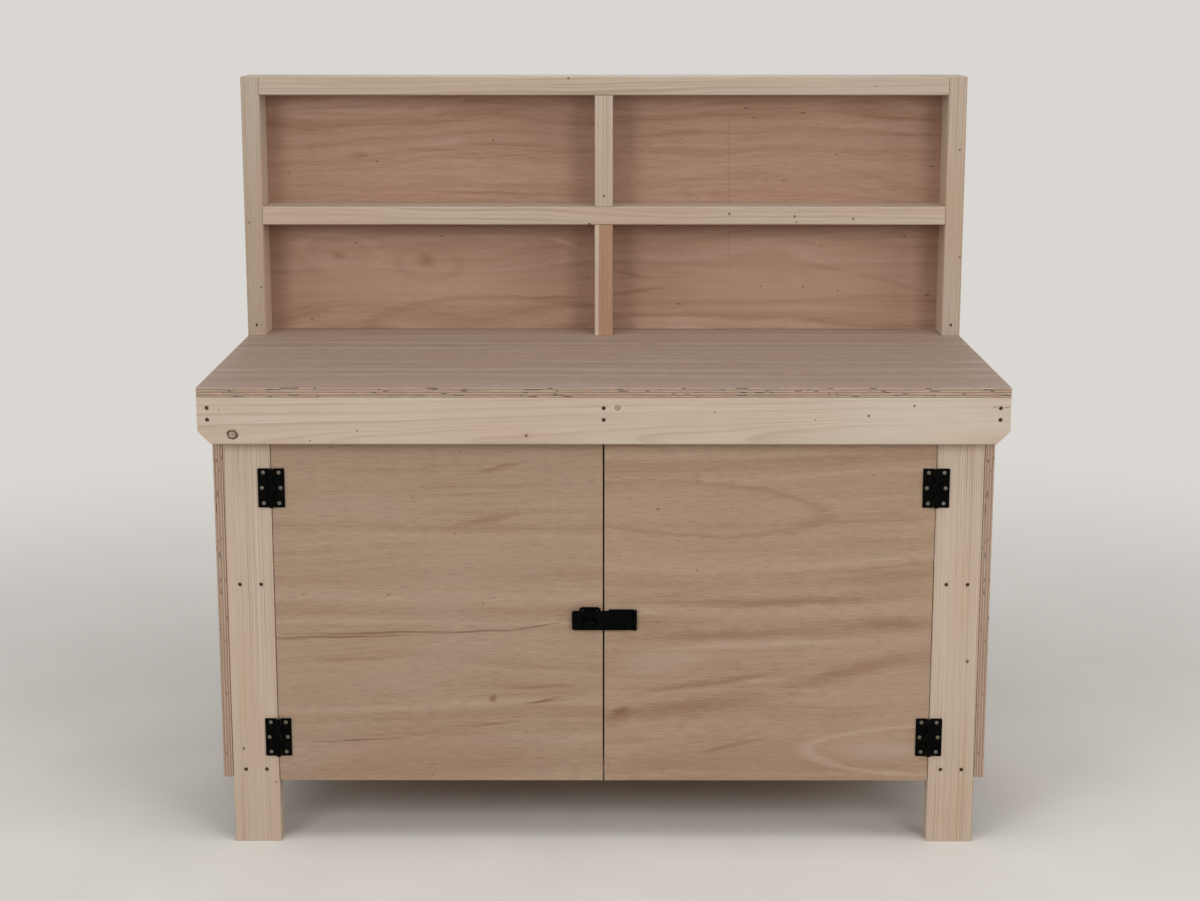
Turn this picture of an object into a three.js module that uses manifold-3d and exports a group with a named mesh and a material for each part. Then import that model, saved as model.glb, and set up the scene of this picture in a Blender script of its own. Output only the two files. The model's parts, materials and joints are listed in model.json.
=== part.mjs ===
import * as THREE from 'three';
import { mergeVertices } from 'three/addons/utils/BufferGeometryUtils.js';
import Module from 'manifold-3d';

// A workbench with a two-door cupboard under its top and an open shelf unit along the back of it.
// Millimetres, +Z up. The doors face -Y, and the origin is on the floor under the middle of the bench.

// Overall sizes
const benchWidth = 1500;
const benchDepth = 700;
const worktopHeight = 900;
const hutchHeight = 540; // shelf unit, up from the worktop

// Stock: planed studs with eased edges, and plywood sheet
const studThickness = 38;
const studWidth = 89;
const railWidth = 63; // narrower stud of the cross rails and shelf rails
const easedRadius = 3;
const plyThickness = 18;
const plyArris = 0.8; // sharp edges of the sheets, just taken off

// Fits
const jointGap = 0.2; // between wooden pieces that butt together
const seatGap = 0.2; // between a fitting and the face that it is screwed to
const doorGap = 3; // between the doors, and above them
const hingeGap = 1; // between a door and the leg that it hangs on
const stopGap = 0.5; // between the closed doors and the shelf edges that stop them
const pinClearance = 0.3; // between a rod and the bore round it
const pinChamfer = 0.5; // at the ends of a pin
const knuckleGap = 0.4; // between neighbouring knuckles

// Cupboard
const apronCorner = 25; // cut off the lower corners of the aprons
const panelBottom = 131; // underside of the side and back panels, up from the floor
const doorBottom = 124;
const baseRailBottom = 127;
const midRailBottom = 495;

// Shelf unit
const hutchShelfRise = 234; // worktop to the underside of the shelf

// Sunk screw holes
const sunkRadius = 4;
const sunkDepth = 9;
const apronScrewSpacing = 22; // one above the other, into the end of a cross rail
const legScrewSpacing = 40; // side by side, into a shelf rail
const toeScrewRise = 22; // up from the foot of an upright or post

// Butt hinges
const hingeLength = 75;
const hingeLeafReach = 25; // from the pin to the outer edge of a leaf
const hingeLeafThickness = 2;
const hingeKnuckles = 5;
const hingePinRadius = 2.2;
const hingeInset = 88; // from the end of the door to the middle of the hinge
const hingeCornerRadius = 1.5;
const hingeScrewEnd = 8; // screw rows, in from the ends of the leaf
const hingeScrewNear = 14.5; // end screws, out from the pin
const hingeScrewFar = 17.5; // middle screw, out from the pin

// Hasp and staple
const haspHeight = 446; // middle of the flap, up from the floor
const haspPinReach = 59; // pin, from the middle of the bench
const stapleReach = 26; // staple, from the middle of the bench
const haspTip = 34; // flap beyond the middle of the staple
const haspFlapWidth = 38;
const haspTipRadius = 4;
const haspBarrelLength = 40;
const haspThickness = 2;
const haspKnuckles = 3;
const haspPinRadius = 1.8;
const haspLeafMargin = 8; // from the fixed leaf to the edge of its door
const haspScrewInset = 8;
const stapleRodRadius = 2.5;
const stapleSpread = 15; // between the middles of the loop's two legs
const stapleRise = 24; // loop, out from the face of the door
const slotEndGap = 3; // between the loop and the ends of the flap's slot
const slotSideGap = 2;
const staplePlateWidth = 40;
const staplePlateHeight = 42;
const staplePlateClip = 4;
const staplePlateLift = 3.5; // plate's middle above the middle of the flap
const staplePlateScrews = 28; // between the plate's screws, both ways

// Countersunk screw holes of the fittings
const screwHoleRadius = 2.2;
const screwHeadRadius = 4.2;
const countersinkDepth = 1.8;

// Roundness
const barrelSides = 16;
const holeSides = 12;
const arcSegments = 2; // a drawn arc gets twice as many
const rodSegments = 5;
const loopSteps = 24;

// Places that follow from the sizes above
const halfWidth = benchWidth / 2;
const frontFace = -benchDepth / 2;
const frameTop = worktopHeight - plyThickness - jointGap;
const apronBottom = frameTop - studWidth;
const railBottom = frameTop - railWidth;
const legFront = frontFace + studThickness + jointGap;
const legBack = legFront + studThickness;
const endRailInner = halfWidth - studThickness;
const legOuter = endRailInner - jointGap;
const legInner = legOuter - studWidth;
const legMiddle = (legOuter + legInner) / 2;
const sideInner = legOuter + jointGap;
const sideOuter = sideInner + plyThickness;
const cabinetRear = -legFront + jointGap;
const doorOuter = legInner - hingeGap;
const doorInner = doorGap / 2;
const doorTop = apronBottom - doorGap;
const doorBack = legFront + plyThickness;
const shelfRailFront = legBack + jointGap;
const hutchFoot = worktopHeight + jointGap;
const hutchTop = worktopHeight + hutchHeight;
const hutchBoardFront = -frontFace - plyThickness;
const hutchFront = hutchBoardFront - jointGap - studWidth;
const hutchInner = halfWidth - studThickness;
const hutchShelfBottom = worktopHeight + hutchShelfRise;
const hutchShelfTop = hutchShelfBottom + studThickness;
const hutchRailBottom = hutchTop - studThickness;

const wasm = await Module();
wasm.setup();

const bench = new THREE.Group();

// Finishes
const pine = { color: 0xc4b298, roughness: 0.62, metalness: 0 };
const topPly = { color: 0x9c8877, roughness: 0.6, metalness: 0 };
const doorPly = { color: 0xa58a73, roughness: 0.6, metalness: 0 };
const backPly = { color: 0x9b7a67, roughness: 0.62, metalness: 0 };
const blackSteel = { color: 0x121212, roughness: 0.45, metalness: 0.3 };
const brightSteel = { color: 0xa8a69c, roughness: 0.35, metalness: 1 };

function solidOf(geometry) {
  const bare = geometry.clone();
  bare.deleteAttribute('normal');
  bare.deleteAttribute('uv');
  const merged = mergeVertices(bare, 1e-4);
  return new wasm.Manifold(
    new wasm.Mesh({
      numProp: 3,
      vertProperties: merged.attributes.position.array,
      triVerts: new Uint32Array(merged.index.array),
    }),
  );
}

function geometryOf(solid) {
  const mesh = solid.getMesh();
  const geometry = new THREE.BufferGeometry();
  geometry.setAttribute('position', new THREE.BufferAttribute(mesh.vertProperties, 3));
  geometry.setIndex(new THREE.BufferAttribute(mesh.triVerts, 1));
  geometry.computeVertexNormals();
  return geometry;
}

function addPiece(parent, name, geometry, finish, x = 0, y = 0, z = 0) {
  const mesh = new THREE.Mesh(geometry, new THREE.MeshStandardMaterial(finish));
  mesh.name = name;
  mesh.position.set(x, y, z);
  parent.add(mesh);
  return mesh;
}

// Turns a shape extruded along its own Z so that it runs along X, Y or Z instead.
function lieAlong(geometry, axis) {
  const [x, y, z] = [new THREE.Vector3(1, 0, 0), new THREE.Vector3(0, 1, 0), new THREE.Vector3(0, 0, 1)];
  const bases = { x: [y, z, x], y: [z, x, y], z: [x, y, z] };
  return geometry.applyMatrix4(new THREE.Matrix4().makeBasis(...bases[axis]));
}

const sizeOf = ([low, high]) => high - low;
const middleOf = ([low, high]) => (low + high) / 2;

// The two sizes across an axis, in the order that lieAlong gives them.
function sizesAcross(axis, x, y, z) {
  const across = { x: [y, z], y: [z, x], z: [x, y] };
  return across[axis].map(sizeOf);
}

function roundedRectangle(width, height, radius) {
  const [right, top] = [width / 2 - radius, height / 2 - radius];
  const shape = new THREE.Shape();
  shape.absarc(right, top, radius, 0, Math.PI / 2);
  shape.absarc(-right, top, radius, Math.PI / 2, Math.PI);
  shape.absarc(-right, -top, radius, Math.PI, 1.5 * Math.PI);
  shape.absarc(right, -top, radius, 1.5 * Math.PI, 2 * Math.PI);
  return shape;
}

// A planed stud between the given limits: four eased edges along the grain, and square sawn ends.
function addStud(name, grain, x, y, z) {
  const [width, height] = sizesAcross(grain, x, y, z);
  const length = sizeOf({ x, y, z }[grain]);
  const outline = roundedRectangle(width, height, easedRadius);
  const options = { depth: length, bevelEnabled: false, curveSegments: arcSegments };
  const geometry = new THREE.ExtrudeGeometry(outline, options).translate(0, 0, -length / 2);
  return addPiece(bench, name, lieAlong(geometry, grain), pine, middleOf(x), middleOf(y), middleOf(z));
}

function sheetGeometry(outline, thickness, normal) {
  const options = {
    depth: thickness - 2 * plyArris,
    bevelSize: plyArris,
    bevelThickness: plyArris,
    bevelOffset: -plyArris,
    bevelSegments: 1,
  };
  const geometry = new THREE.ExtrudeGeometry(outline, options).translate(0, 0, -options.depth / 2);
  return lieAlong(geometry, normal);
}

function outlineThrough(points) {
  return new THREE.Shape(points.map(([u, v]) => new THREE.Vector2(u, v)));
}

// A plywood sheet between the given limits, square to one axis.
function addSheet(name, normal, x, y, z, finish) {
  const [u, v] = sizesAcross(normal, x, y, z).map((size) => size / 2);
  const outline = outlineThrough([[-u, -v], [u, -v], [u, v], [-u, v]]);
  const geometry = sheetGeometry(outline, sizeOf({ x, y, z }[normal]), normal);
  return addPiece(bench, name, geometry, finish, middleOf(x), middleOf(y), middleOf(z));
}

// Sinks screw holes into a piece from its -Y face, at places given as X and Z from the piece's middle.
function sinkScrews(mesh, places) {
  mesh.geometry.computeBoundingBox();
  const face = mesh.geometry.boundingBox.min.y;
  let solid = solidOf(mesh.geometry);
  for (const [x, z] of places) {
    const hole = new THREE.CylinderGeometry(sunkRadius, sunkRadius, 2 * sunkDepth, holeSides);
    solid = solid.subtract(solidOf(hole.translate(x, face, z)));
  }
  mesh.geometry = geometryOf(solid);
}

function cutLowerCorners(mesh) {
  let solid = solidOf(mesh.geometry);
  for (const end of [-halfWidth, halfWidth]) {
    const side = apronCorner * Math.SQRT2;
    const corner = new THREE.BoxGeometry(side, 2 * studThickness, side).rotateY(Math.PI / 4);
    solid = solid.subtract(solidOf(corner.translate(end, 0, -studWidth / 2)));
  }
  mesh.geometry = geometryOf(solid);
}

const sides = [['left', -1], ['right', 1]];
const spanFor = (side, near, far) => [side * near, side * far].sort((a, b) => a - b);

// Turns a piece made for the front round to the same place at the rear.
function turnToRear(mesh) {
  mesh.rotation.z = Math.PI;
  mesh.position.y = -mesh.position.y;
}

const ends = [['front', () => {}], ['rear', turnToRear]];

// Worktop and the frame under it. Both aprons are one pattern, and the rear one is turned round.
function buildTop() {
  const reach = [-halfWidth, halfWidth];
  addSheet('worktop', 'z', reach, [frontFace, -frontFace], [worktopHeight - plyThickness, worktopHeight], topPly);

  const railX = halfWidth - studThickness / 2;
  const railZ = (frameTop + railBottom) / 2 - (frameTop + apronBottom) / 2;
  const offsets = [-apronScrewSpacing / 2, apronScrewSpacing / 2];
  const screwPlaces = [-railX, 0, railX].flatMap((x) => offsets.map((dz) => [x, railZ + dz]));
  const apronY = [frontFace, frontFace + studThickness];
  for (const [end, place] of ends) {
    const apron = addStud(`${end}_apron`, 'x', reach, apronY, [apronBottom, frameTop]);
    cutLowerCorners(apron);
    sinkScrews(apron, screwPlaces);
    place(apron);
  }

  const railY = [legFront, -legFront];
  const railHeight = [railBottom, frameTop];
  for (const [name, side] of sides) {
    addStud(`end_rail_${name}`, 'y', spanFor(side, endRailInner, halfWidth), railY, railHeight);
  }
  addStud('centre_rail', 'y', [-studThickness / 2, studThickness / 2], railY, railHeight);
}

// Four legs of one pattern inside the frame, with screws into the shelf rails behind them.
function buildLegs() {
  const railMiddles = [baseRailBottom, midRailBottom].map((bottom) => bottom + studThickness / 2);
  const screwPlaces = railMiddles.flatMap((z) =>
    [-legScrewSpacing / 2, legScrewSpacing / 2].map((x) => [x, z - frameTop / 2]),
  );
  for (const [end, place] of ends) {
    for (const [name, side] of sides) {
      const across = spanFor(side, legInner, legOuter);
      const leg = addStud(`${end}_leg_${name}`, 'z', across, [legFront, legBack], [0, frameTop]);
      sinkScrews(leg, screwPlaces);
      place(leg);
    }
  }
}

// Plywood round the cupboard, under the frame and outside the legs.
function buildPanels() {
  for (const [name, side] of sides) {
    const sideHeight = [panelBottom, railBottom - jointGap];
    const across = spanFor(side, sideInner, sideOuter);
    addSheet(`side_panel_${name}`, 'x', across, [legFront, -legFront], sideHeight, doorPly);
  }
  const rear = [cabinetRear, cabinetRear + plyThickness];
  addSheet('cabinet_back', 'y', [-sideOuter, sideOuter], rear, [panelBottom, apronBottom - jointGap], backPly);
}

// Shelf board cut round the four legs, its front edge just behind the closed doors.
function shelfOutline() {
  const inner = legInner - jointGap;
  const front = doorBack + stopGap;
  const notch = legBack + jointGap;
  return outlineThrough([
    [-inner, front], [inner, front], [inner, notch], [legOuter, notch],
    [legOuter, -notch], [inner, -notch], [inner, -legFront], [-inner, -legFront],
    [-inner, -notch], [-legOuter, -notch], [-legOuter, notch], [-inner, notch],
  ]);
}

function buildShelves() {
  for (const [name, bottom] of [['base', baseRailBottom], ['mid', midRailBottom]]) {
    const height = [bottom, bottom + studThickness];
    const front = [shelfRailFront, shelfRailFront + railWidth];
    const rear = [-shelfRailFront - railWidth, -shelfRailFront];
    addStud(`${name}_rail_front`, 'x', [-legOuter, legOuter], front, height);
    addStud(`${name}_rail_rear`, 'x', [-legOuter, legOuter], rear, height);
    const boardMiddle = bottom + studThickness + jointGap + plyThickness / 2;
    const board = sheetGeometry(shelfOutline(), plyThickness, 'z');
    addPiece(bench, `${name}_shelf`, board, doorPly, 0, 0, boardMiddle);
  }
}

// Open shelf unit standing along the back of the worktop.
function buildHutch() {
  const depth = [hutchFront, hutchFront + studWidth];
  const toe = (bottom, top) => [[0, bottom + toeScrewRise - (bottom + top) / 2]];
  for (const [name, side] of sides) {
    const upright = addStud(
      `hutch_upright_${name}`, 'z', spanFor(side, hutchInner, halfWidth), depth, [hutchFoot, hutchTop],
    );
    sinkScrews(upright, toe(hutchFoot, hutchTop));
  }
  const between = [jointGap - hutchInner, hutchInner - jointGap];
  addStud('hutch_top_rail', 'x', between, depth, [hutchRailBottom, hutchTop]);
  addStud('hutch_shelf', 'x', between, depth, [hutchShelfBottom, hutchShelfTop]);

  const postX = [-studThickness / 2, studThickness / 2];
  addStud('hutch_post_lower', 'z', postX, depth, [hutchFoot, hutchShelfBottom - jointGap]);
  const upperPost = [hutchShelfTop + jointGap, hutchRailBottom - jointGap];
  const upper = addStud('hutch_post_upper', 'z', postX, depth, upperPost);
  sinkScrews(upper, toe(...upperPost));

  const board = [hutchBoardFront, hutchBoardFront + plyThickness];
  addSheet('hutch_back', 'y', [-halfWidth, halfWidth], board, [hutchFoot, hutchTop], backPly);
}

function buildDoors() {
  for (const [name, side] of sides) {
    const across = spanFor(side, doorInner, doorOuter);
    addSheet(`${name}_door`, 'y', across, [legFront, doorBack], [doorBottom, doorTop], doorPly);
  }
}

// The barrel of a hinge: knuckles rolled from the leaf's own thickness round a pin.
function barrelFor(length, knuckles, pinRadius, thickness) {
  const bore = pinRadius + pinClearance;
  return { length, knuckles, pinRadius, thickness, bore, radius: bore + thickness, pitch: length / knuckles };
}

function rodAlongZ(radius, length, z = 0) {
  return new THREE.CylinderGeometry(radius, radius, length, barrelSides).rotateX(Math.PI / 2).translate(0, 0, z);
}

// A flat plate drawn in X and Z, its front face at the given Y.
function plateSolid(outline, front, thickness) {
  const options = { depth: thickness, bevelEnabled: false, curveSegments: arcSegments };
  const geometry = new THREE.ExtrudeGeometry(outline, options);
  return solidOf(geometry.rotateX(Math.PI / 2).translate(0, front + thickness, 0));
}

function countersink(x, front, z, thickness) {
  const through = countersinkDepth + thickness;
  const profile = [
    [0, -thickness / 2], [screwHeadRadius, -thickness / 2], [screwHeadRadius, 0],
    [screwHoleRadius, countersinkDepth], [screwHoleRadius, through], [0, through],
  ];
  const points = profile.map(([radius, depth]) => new THREE.Vector2(radius, depth));
  return solidOf(new THREE.LatheGeometry(points, holeSides).translate(x, front, z));
}

// One half of a hinge about its pin. Its leaf reaches to one side (-1 or 1 along X) and lies in line with
// the back (1) or the front (-1) of the barrel. Every second knuckle, from the first given, is its own.
function hingeHalf(barrel, outline, lie, side, firstKnuckle, screwPlaces) {
  const { radius, thickness, pitch, length, knuckles, bore } = barrel;
  const front = lie > 0 ? radius - thickness : -radius;
  let solid = plateSolid(outline, front, thickness);
  const tongueReach = radius + knuckleGap + thickness;
  for (let i = firstKnuckle; i < knuckles; i += 2) {
    const height = pitch - knuckleGap;
    const middle = (i + 0.5) * pitch - length / 2;
    const tongue = new THREE.BoxGeometry(tongueReach, thickness, height);
    tongue.translate(side * tongueReach / 2, front + thickness / 2, middle);
    solid = solid.add(solidOf(rodAlongZ(radius, height, middle))).add(solidOf(tongue));
  }
  solid = solid.subtract(solidOf(rodAlongZ(bore, 2 * length)));
  for (const [x, z] of screwPlaces) {
    solid = solid.subtract(countersink(x, front, z, thickness));
  }
  return geometryOf(solid);
}

function pinGeometry(barrel) {
  const [radius, half, edge] = [barrel.pinRadius, barrel.length / 2, pinChamfer];
  const profile = [[0, -half], [radius - edge, -half], [radius, edge - half], [radius, half - edge]];
  profile.push([radius - edge, half], [0, half]);
  const points = profile.map(([r, y]) => new THREE.Vector2(r, y));
  return new THREE.LatheGeometry(points, barrelSides).rotateX(Math.PI / 2);
}

// Leaf outline from the clearance beside the barrel to its outer edge, which has the rounded corners.
function leafOutline(barrel, reach, width, side, cornerRadius) {
  const near = barrel.radius + knuckleGap;
  const [low, high] = [-width / 2, width / 2];
  const shape = new THREE.Shape();
  shape.moveTo(side * near, low);
  shape.lineTo(side * (reach - cornerRadius), low);
  shape.quadraticCurveTo(side * reach, low, side * reach, low + cornerRadius);
  shape.lineTo(side * reach, high - cornerRadius);
  shape.quadraticCurveTo(side * reach, high, side * (reach - cornerRadius), high);
  shape.lineTo(side * near, high);
  return shape;
}

// Four butt hinges laid flat across the legs and doors, the barrel in front of the gap between them.
function buildHinges() {
  const barrel = barrelFor(hingeLength, hingeKnuckles, hingePinRadius, hingeLeafThickness);
  const screwRow = hingeLength / 2 - hingeScrewEnd;
  const heights = [['top', doorTop - hingeInset], ['bottom', doorBottom + hingeInset]];
  const axisY = legFront - seatGap - barrel.radius;
  for (const [name, side] of sides) {
    for (const [level, z] of heights) {
      const hinge = new THREE.Group();
      hinge.position.set(side * (legInner - hingeGap / 2), axisY, z);
      bench.add(hinge);
      for (const [half, reachSide, firstKnuckle] of [['frame', side, 0], ['door', -side, 1]]) {
        const outline = leafOutline(barrel, hingeLeafReach, hingeLength, reachSide, hingeCornerRadius);
        const screwPlaces = [
          [reachSide * hingeScrewNear, screwRow],
          [reachSide * hingeScrewFar, 0],
          [reachSide * hingeScrewNear, -screwRow],
        ];
        const leaf = hingeHalf(barrel, outline, 1, reachSide, firstKnuckle, screwPlaces);
        addPiece(hinge, `${name}_${level}_hinge_${half}_leaf`, leaf, blackSteel);
      }
      addPiece(hinge, `${name}_${level}_hinge_pin`, pinGeometry(barrel), brightSteel);
    }
  }
}

function slotPath(length, height, x) {
  const [radius, run] = [height / 2, (length - height) / 2];
  const slot = new THREE.Path();
  slot.absarc(x + run, 0, radius, -Math.PI / 2, Math.PI / 2);
  slot.absarc(x - run, 0, radius, Math.PI / 2, 1.5 * Math.PI);
  return slot;
}

// Hasp on the right door: a fixed leaf, and a flap folded over it that reaches across to the staple.
function buildHasp() {
  const barrel = barrelFor(haspBarrelLength, haspKnuckles, haspPinRadius, haspThickness);
  const hasp = new THREE.Group();
  hasp.position.set(haspPinReach, legFront - seatGap - barrel.radius, haspHeight);
  bench.add(hasp);

  const leafReach = haspPinReach - doorInner - haspLeafMargin;
  const leafShape = leafOutline(barrel, leafReach, haspBarrelLength, -1, hingeCornerRadius);
  const screwZ = haspBarrelLength / 2 - haspScrewInset;
  const screwX = [barrel.radius + knuckleGap + haspScrewInset, leafReach - haspScrewInset];
  const screwPlaces = screwX.flatMap((x) => [[-x, screwZ], [-x, -screwZ]]);
  addPiece(hasp, 'hasp_fixed_leaf', hingeHalf(barrel, leafShape, 1, -1, 0, screwPlaces), blackSteel);
  addPiece(hasp, 'hasp_pin', pinGeometry(barrel), brightSteel);

  const flapReach = haspPinReach + stapleReach + haspTip;
  const flapShape = leafOutline(barrel, flapReach, haspFlapWidth, -1, haspTipRadius);
  const slotLength = stapleSpread + 2 * stapleRodRadius + 2 * slotEndGap;
  const slotHeight = 2 * stapleRodRadius + 2 * slotSideGap;
  flapShape.holes.push(slotPath(slotLength, slotHeight, -haspPinReach - stapleReach));
  addPiece(hasp, 'hasp_flap', hingeHalf(barrel, flapShape, -1, -1, 1, []), blackSteel);
}

// Path of the staple's rod: straight out from the plate, half round, and straight back.
function staplePath(foot) {
  const half = stapleSpread / 2;
  const bend = stapleRodRadius - stapleRise + half;
  const pull = half * 4 / 3 * (Math.SQRT2 - 1); // handle of a cubic that follows a quarter circle
  const crown = bend - half;
  const at = (x, y) => new THREE.Vector3(x, y, 0);
  const path = new THREE.CurvePath();
  path.add(new THREE.LineCurve3(at(-half, foot), at(-half, bend)));
  path.add(new THREE.CubicBezierCurve3(at(-half, bend), at(-half, bend - pull), at(-pull, crown), at(0, crown)));
  path.add(new THREE.CubicBezierCurve3(at(0, crown), at(pull, crown), at(half, bend - pull), at(half, bend)));
  path.add(new THREE.LineCurve3(at(half, bend), at(half, foot)));
  return path;
}

// Staple on the left door: a plate with clipped corners, and a loop whose feet stand in its two holes.
function buildStaple() {
  const staple = new THREE.Group();
  staple.position.set(-stapleReach, legFront, haspHeight);
  bench.add(staple);

  const [u, v] = [staplePlateWidth / 2, staplePlateHeight / 2];
  const [cu, cv] = [u - staplePlateClip, v - staplePlateClip];
  const clipped = [[-cu, -v], [cu, -v], [u, -cv], [u, cv], [cu, v], [-cu, v], [-u, cv], [-u, -cv]];
  const outline = outlineThrough(clipped.map(([x, z]) => [x, z + staplePlateLift]));
  const front = -seatGap - haspThickness;
  let plate = plateSolid(outline, front, haspThickness);
  for (const x of [-stapleSpread / 2, stapleSpread / 2]) {
    const hole = stapleRodRadius + pinClearance;
    const bore = new THREE.CylinderGeometry(hole, hole, 4 * haspThickness, holeSides);
    plate = plate.subtract(solidOf(bore.translate(x, front, 0)));
  }
  const spread = staplePlateScrews / 2;
  for (const [x, z] of [[-spread, -spread], [spread, -spread], [spread, spread], [-spread, spread]]) {
    plate = plate.subtract(countersink(x, front, z + staplePlateLift, haspThickness));
  }
  addPiece(staple, 'staple_plate', geometryOf(plate), blackSteel);

  const section = new THREE.Shape();
  section.absarc(0, 0, stapleRodRadius, 0, 2 * Math.PI);
  const options = { steps: loopSteps, curveSegments: rodSegments, extrudePath: staplePath(-seatGap) };
  addPiece(staple, 'staple_loop', new THREE.ExtrudeGeometry(section, options), blackSteel);
}

buildTop();
buildLegs();
buildPanels();
buildShelves();
buildHutch();
buildDoors();
buildHinges();
buildHasp();
buildStaple();

export default bench;
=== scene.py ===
# Looks of a timber workbench with a two-door cupboard and a shelf unit, fitted round its solids.
import json
import math

import bmesh
import bpy
from mathutils import Matrix, Vector


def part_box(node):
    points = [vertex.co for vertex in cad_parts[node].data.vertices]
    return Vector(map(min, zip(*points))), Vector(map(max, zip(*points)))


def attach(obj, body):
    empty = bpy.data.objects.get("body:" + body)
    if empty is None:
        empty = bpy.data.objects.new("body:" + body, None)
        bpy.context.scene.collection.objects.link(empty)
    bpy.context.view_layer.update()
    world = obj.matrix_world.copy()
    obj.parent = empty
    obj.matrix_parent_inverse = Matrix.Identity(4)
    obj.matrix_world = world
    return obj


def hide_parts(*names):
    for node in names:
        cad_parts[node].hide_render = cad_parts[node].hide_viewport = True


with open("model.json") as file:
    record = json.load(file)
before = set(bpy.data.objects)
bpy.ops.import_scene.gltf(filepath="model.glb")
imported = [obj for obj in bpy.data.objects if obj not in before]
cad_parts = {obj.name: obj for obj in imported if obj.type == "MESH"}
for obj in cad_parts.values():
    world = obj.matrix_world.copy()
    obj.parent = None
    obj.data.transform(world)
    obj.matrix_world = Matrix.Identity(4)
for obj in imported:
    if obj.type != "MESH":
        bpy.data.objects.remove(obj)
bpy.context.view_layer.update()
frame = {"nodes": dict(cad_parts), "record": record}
bodyOf = {node: body for body, nodes in frame["record"]["behaviour"]["bodies"].items() for node in nodes}
slotOf = {part["node"]: part["material_slot"] for part in frame["record"]["subparts"]}

mm = 0.001  # Blender works in metres here, and sizes below are written in millimetres
noiseLimits = (0.3, 0.7)  # most values of a noise pattern lie between these
noiseMiddle = 0.5


def span(node):
    # lowest corner, middle and highest corner of a solid, in millimetres
    low, high = [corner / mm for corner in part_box(node)]
    return low, (low + high) / 2, high


def hexColour(text):
    # sRGB hex to the linear values that shaders take
    parts = [int(text[i:i + 2], 16) / 255 for i in (1, 3, 5)]
    return [c / 12.92 if c <= 0.04045 else ((c + 0.055) / 1.055) ** 2.4 for c in parts] + [1.0]


def addNode(tree, kind, inputs=(), stops=None, **settings):
    # adds a shader node; its inputs are listed in order, or by name or number, and each is a value, a socket,
    # or a node whose first usable output is meant
    node = tree.nodes.new("ShaderNode" + kind)
    for key, value in settings.items():
        setattr(node, key, value)
    if not isinstance(inputs, dict):
        inputs = dict(enumerate(inputs))
    for key, value in inputs.items():
        if isinstance(value, bpy.types.Node):
            value = next(socket for socket in value.outputs if not socket.is_unavailable)
        if isinstance(value, bpy.types.NodeSocket):
            tree.links.new(value, node.inputs[key])
        else:
            node.inputs[key].default_value = value
    if stops:
        elements = node.color_ramp.elements
        while len(elements) < len(stops):
            elements.new(1.0)
        for element, (position, colour) in zip(elements, stops):
            element.position = position
            element.color = hexColour(colour)
    return node


def newMaterial(name):
    material = bpy.data.materials.new(name)
    material.use_nodes = True
    material.node_tree.nodes.clear()
    return material, material.node_tree


def meshObject(name, mesh):
    data = bpy.data.meshes.new(name)
    mesh.to_mesh(data)
    mesh.free()
    piece = bpy.data.objects.new(name, data)
    bpy.context.scene.collection.objects.link(piece)
    return piece


# Camera and studio

photoCamera = {
    "place": (0.0007, -4.2255, 1.6294),
    "pitch": 11.03,  # degrees down
    "yaw": 0.11,  # degrees to the left
    "lens": 64.4,  # millimetres, as is the width of the sensor
    "sensor": 36,
    "shiftY": -0.0408,  # the view is framed a little below the lens axis
}


def makeCamera():
    data = bpy.data.cameras.new("photoCamera")
    data.lens = photoCamera["lens"]
    data.sensor_width = photoCamera["sensor"]
    data.shift_y = photoCamera["shiftY"]
    camera = bpy.data.objects.new("photoCamera", data)
    camera.location = photoCamera["place"]
    camera.rotation_euler = (math.radians(90 - photoCamera["pitch"]), 0, math.radians(photoCamera["yaw"]))
    bpy.context.scene.collection.objects.link(camera)
    bpy.context.scene.camera = camera


studio = {
    "lamps": [  # name, place, aim, width and height in metres, watts
        ("leftSoftbox", (-2.2, -3.5, 2.2), (0, -0.1, 0.75), (1.4, 1.4), 46),
        ("rightSoftbox", (2.2, -3.5, 2.2), (0, -0.1, 0.75), (1.4, 1.4), 42),
        ("topSoftbox", (0, -0.9, 3.7), (0, 0, 0.8), (2.6, 1.6), 38),
        ("leftFill", (-3.6, -1.5, 1.9), (0, 0.1, 1.0), (1.6, 1.6), 18),
        ("rightFill", (3.6, -1.5, 1.9), (0, 0.1, 1.0), (1.6, 1.6), 32),
        ("rearSoftbox", (0, 3.9, 2.2), (0, 0.2, 0.8), (2.4, 1.0), 36),
    ],
    "ambient": 0.25,
    "backdrop": "#dad7d2",
    "floor": "#dcd8d2",
    "floorMottle": "#e2dfd9",
    "floorPatches": 3.0,  # to a metre
    "floorReach": 60,  # metres
    "floorFade": (0.9, 3.6),  # the floor passes into the backdrop between these distances
}


def seenDirectly(tree):
    # 1 for what the camera sees, straight or by way of a mirror or glass
    rays = addNode(tree, "LightPath").outputs
    either = addNode(tree, "Math", [rays["Is Camera Ray"], rays["Is Glossy Ray"]], operation="MAXIMUM")
    return addNode(tree, "Math", [either, rays["Is Transmission Ray"]], operation="MAXIMUM")


def makeLamps():
    for name, place, aim, (width, height), watts in studio["lamps"]:
        data = bpy.data.lights.new(name, "AREA")
        data.shape = "RECTANGLE"
        data.size = width
        data.size_y = height
        data.energy = watts
        lamp = bpy.data.objects.new(name, data)
        lamp.location = place
        lamp.rotation_euler = (Vector(aim) - Vector(place)).to_track_quat("-Z", "Y").to_euler()
        bpy.context.scene.collection.objects.link(lamp)


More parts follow.
